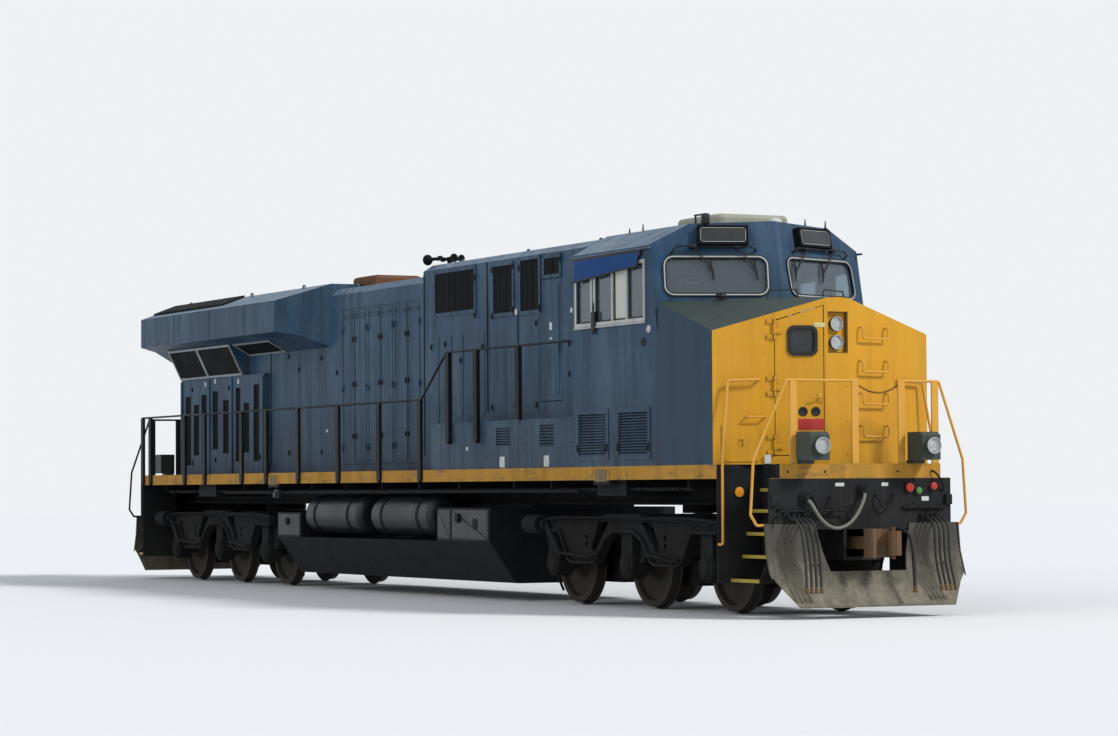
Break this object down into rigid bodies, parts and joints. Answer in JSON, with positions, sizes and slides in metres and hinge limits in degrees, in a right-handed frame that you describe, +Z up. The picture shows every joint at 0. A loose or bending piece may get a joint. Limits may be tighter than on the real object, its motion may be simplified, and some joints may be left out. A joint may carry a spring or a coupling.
{
  "type": "six-axle diesel-electric road locomotive",
  "caption": "Blue and yellow six-axle diesel road locomotive: wide cab and nose, long hood with winged radiator, walkways, fuel tank, two swivelling three-axle trucks and couplers.",
  "frame": {"origin": "on the centre line, midway between the trucks, level with the lowest points of the wheel flanges", "axes": "+X forward towards the cab and nose, +Y to the left side, +Z up"},
  "size_m": [22.44, 3.07, 4.882],
  "materials": {
    "frame_black": "dusty matt black paint",
    "reservoir_black": "satin dark paint",
    "truck_black": "dusty cast steel",
    "wheel_steel": "rusty steel with bright treads",
    "plow_steel": "weathered paint and road dust",
    "nose_yellow": "golden yellow enamel",
    "body_blue": "weathered dark blue enamel",
    "window_glass": "clear glass",
    "window_trim": "dull bare metal trim and black seals",
    "cab_grey": "grey vinyl and plastic",
    "board_black": "black enamel",
    "visor_blue": "blue canvas",
    "screen_black": "black mesh",
    "engine_green": "grey green engine enamel",
    "rusty_steel": "heat rusted steel",
    "cooler_cream": "faded cream enamel",
    "lamp_metal": "lamp housings with clear lenses",
    "rail_black": "black enamel",
    "rail_yellow": "yellow enamel, worn",
    "cable_grey": "grey cable jacket",
    "hose_rubber": "black hose rubber",
    "coupler_steel": "rusty cast steel"
  },
  "bodies": {
    "carbody": {"underframe": "frame_black", "centre_sills": "frame_black", "cross_members": "frame_black", "step_wells": "frame_black", "fuel_tank": "frame_black", "air_reservoirs": "reservoir_black", "pilot_plows": "plow_steel", "nose_shell": "nose_yellow", "cab_shell": "body_blue", "window_frames": "window_trim", "cab_base": "body_blue", "cab_glass": "window_glass", "cab_interior": "cab_grey", "number_boards": "board_black", "visors": "visor_blue", "auxiliary_hood": "body_blue", "body_screens": "screen_black", "walkway_cabinets": "body_blue", "engine_hood": "body_blue", "engine_block": "engine_green", "radiator_hood": "body_blue", "exhaust": "rusty_steel", "roof_cooler": "cooler_cream", "horn": "board_black", "lamps": "lamp_metal", "right_handrails": "rail_black", "left_handrails": "rail_black", "end_handrails": "rail_yellow", "sill_pipes": "frame_black", "jumper_cables": "cable_grey", "hoses": "hose_rubber", "hose_couplings": "coupler_steel", "end_gear": "frame_black"},
    "nose_door": {"nose_door": "nose_yellow"},
    "right_side_door": {"right_side_door": "body_blue"},
    "left_side_door": {"left_side_door": "body_blue"},
    "front_coupler": {"front_coupler": "coupler_steel"},
    "rear_coupler": {"rear_coupler": "coupler_steel"},
    "front_truck": {"front_truck_frame": "truck_black", "front_traction_motors": "truck_black"},
    "rear_truck": {"rear_truck_frame": "truck_black", "rear_traction_motors": "truck_black"},
    "front_wheelset_1": {"front_wheelset_1": "wheel_steel"},
    "front_wheelset_2": {"front_wheelset_2": "wheel_steel"},
    "front_wheelset_3": {"front_wheelset_3": "wheel_steel"},
    "rear_wheelset_1": {"rear_wheelset_1": "wheel_steel"},
    "rear_wheelset_2": {"rear_wheelset_2": "wheel_steel"},
    "rear_wheelset_3": {"rear_wheelset_3": "wheel_steel"},
    "right_engine_door_1": {"right_engine_door_1": "body_blue"},
    "right_engine_door_2": {"right_engine_door_2": "body_blue"},
    "right_engine_door_3": {"right_engine_door_3": "body_blue"},
    "right_engine_door_4": {"right_engine_door_4": "body_blue"},
    "right_engine_door_5": {"right_engine_door_5": "body_blue"},
    "right_engine_door_6": {"right_engine_door_6": "body_blue"},
    "left_engine_door_1": {"left_engine_door_1": "body_blue"},
    "left_engine_door_2": {"left_engine_door_2": "body_blue"},
    "left_engine_door_3": {"left_engine_door_3": "body_blue"},
    "left_engine_door_4": {"left_engine_door_4": "body_blue"},
    "left_engine_door_5": {"left_engine_door_5": "body_blue"},
    "left_engine_door_6": {"left_engine_door_6": "body_blue"}
  },
  "joints": [
    {"name": "front_truck_swivel", "type": "hinge", "parent": "carbody", "child": "front_truck", "pos_m": [7.045, 0, 1.19], "axis": [0, 0, 1], "range_deg": [-5, 5]},
    {"name": "front_wheelset_1_spin", "type": "hinge", "parent": "front_truck", "child": "front_wheelset_1", "pos_m": [5.038, 0, 0.5615], "axis": [0, 1, 0], "continuous": true},
    {"name": "front_wheelset_2_spin", "type": "hinge", "parent": "front_truck", "child": "front_wheelset_2", "pos_m": [7.045, 0, 0.5615], "axis": [0, 1, 0], "continuous": true},
    {"name": "front_wheelset_3_spin", "type": "hinge", "parent": "front_truck", "child": "front_wheelset_3", "pos_m": [9.052, 0, 0.5615], "axis": [0, 1, 0], "continuous": true},
    {"name": "rear_truck_swivel", "type": "hinge", "parent": "carbody", "child": "rear_truck", "pos_m": [-7.045, 0, 1.19], "axis": [0, 0, 1], "range_deg": [-5, 5]},
    {"name": "rear_wheelset_1_spin", "type": "hinge", "parent": "rear_truck", "child": "rear_wheelset_1", "pos_m": [-9.052, 0, 0.5615], "axis": [0, 1, 0], "continuous": true},
    {"name": "rear_wheelset_2_spin", "type": "hinge", "parent": "rear_truck", "child": "rear_wheelset_2", "pos_m": [-7.045, 0, 0.5615], "axis": [0, 1, 0], "continuous": true},
    {"name": "rear_wheelset_3_spin", "type": "hinge", "parent": "rear_truck", "child": "rear_wheelset_3", "pos_m": [-5.038, 0, 0.5615], "axis": [0, 1, 0], "continuous": true},
    {"name": "front_coupler_swing", "type": "hinge", "parent": "carbody", "child": "front_coupler", "pos_m": [9.99, 0, 0.861], "axis": [0, 0, 1], "range_deg": [-7, 7]},
    {"name": "rear_coupler_swing", "type": "hinge", "parent": "carbody", "child": "rear_coupler", "pos_m": [-9.99, 0, 0.861], "axis": [0, 0, 1], "range_deg": [-7, 7]},
    {"name": "nose_door_hinge", "type": "hinge", "parent": "carbody", "child": "nose_door", "pos_m": [9.9882, -0.779, 2.7], "axis": [0, 0, -1], "range_deg": [0, 50]},
    {"name": "right_side_door_hinge", "type": "hinge", "parent": "carbody", "child": "right_side_door", "pos_m": [4.613, -1.061, 3.46], "axis": [0, 0, 1], "range_deg": [0, 90]},
    {"name": "right_engine_door_1_hinge", "type": "hinge", "parent": "carbody", "child": "right_engine_door_1", "pos_m": [-2.463, -0.947, 3.07], "axis": [0, 0, -1], "range_deg": [0, 90]},
    {"name": "right_engine_door_2_hinge", "type": "hinge", "parent": "carbody", "child": "right_engine_door_2", "pos_m": [-1.575, -0.947, 3.07], "axis": [0, 0, 1], "range_deg": [0, 90]},
    {"name": "right_engine_door_3_hinge", "type": "hinge", "parent": "carbody", "child": "right_engine_door_3", "pos_m": [-1.503, -0.947, 3.07], "axis": [0, 0, -1], "range_deg": [0, 90]},
    {"name": "right_engine_door_4_hinge", "type": "hinge", "parent": "carbody", "child": "right_engine_door_4", "pos_m": [-0.615, -0.947, 3.07], "axis": [0, 0, 1], "range_deg": [0, 90]},
    {"name": "right_engine_door_5_hinge", "type": "hinge", "parent": "carbody", "child": "right_engine_door_5", "pos_m": [-0.543, -0.947, 3.07], "axis": [0, 0, -1], "range_deg": [0, 90]},
    {"name": "right_engine_door_6_hinge", "type": "hinge", "parent": "carbody", "child": "right_engine_door_6", "pos_m": [0.345, -0.947, 3.07], "axis": [0, 0, 1], "range_deg": [0, 90]},
    {"name": "left_side_door_hinge", "type": "hinge", "parent": "carbody", "child": "left_side_door", "pos_m": [4.613, 1.061, 3.46], "axis": [0, 0, -1], "range_deg": [0, 90]},
    {"name": "left_engine_door_1_hinge", "type": "hinge", "parent": "carbody", "child": "left_engine_door_1", "pos_m": [-2.463, 0.947, 3.07], "axis": [0, 0, 1], "range_deg": [0, 90]},
    {"name": "left_engine_door_2_hinge", "type": "hinge", "parent": "carbody", "child": "left_engine_door_2", "pos_m": [-1.575, 0.947, 3.07], "axis": [0, 0, -1], "range_deg": [0, 90]},
    {"name": "left_engine_door_3_hinge", "type": "hinge", "parent": "carbody", "child": "left_engine_door_3", "pos_m": [-1.503, 0.947, 3.07], "axis": [0, 0, 1], "range_deg": [0, 90]},
    {"name": "left_engine_door_4_hinge", "type": "hinge", "parent": "carbody", "child": "left_engine_door_4", "pos_m": [-0.615, 0.947, 3.07], "axis": [0, 0, -1], "range_deg": [0, 90]},
    {"name": "left_engine_door_5_hinge", "type": "hinge", "parent": "carbody", "child": "left_engine_door_5", "pos_m": [-0.543, 0.947, 3.07], "axis": [0, 0, 1], "range_deg": [0, 90]},
    {"name": "left_engine_door_6_hinge", "type": "hinge", "parent": "carbody", "child": "left_engine_door_6", "pos_m": [0.345, 0.947, 3.07], "axis": [0, 0, -1], "range_deg": [0, 90]}
  ]
}
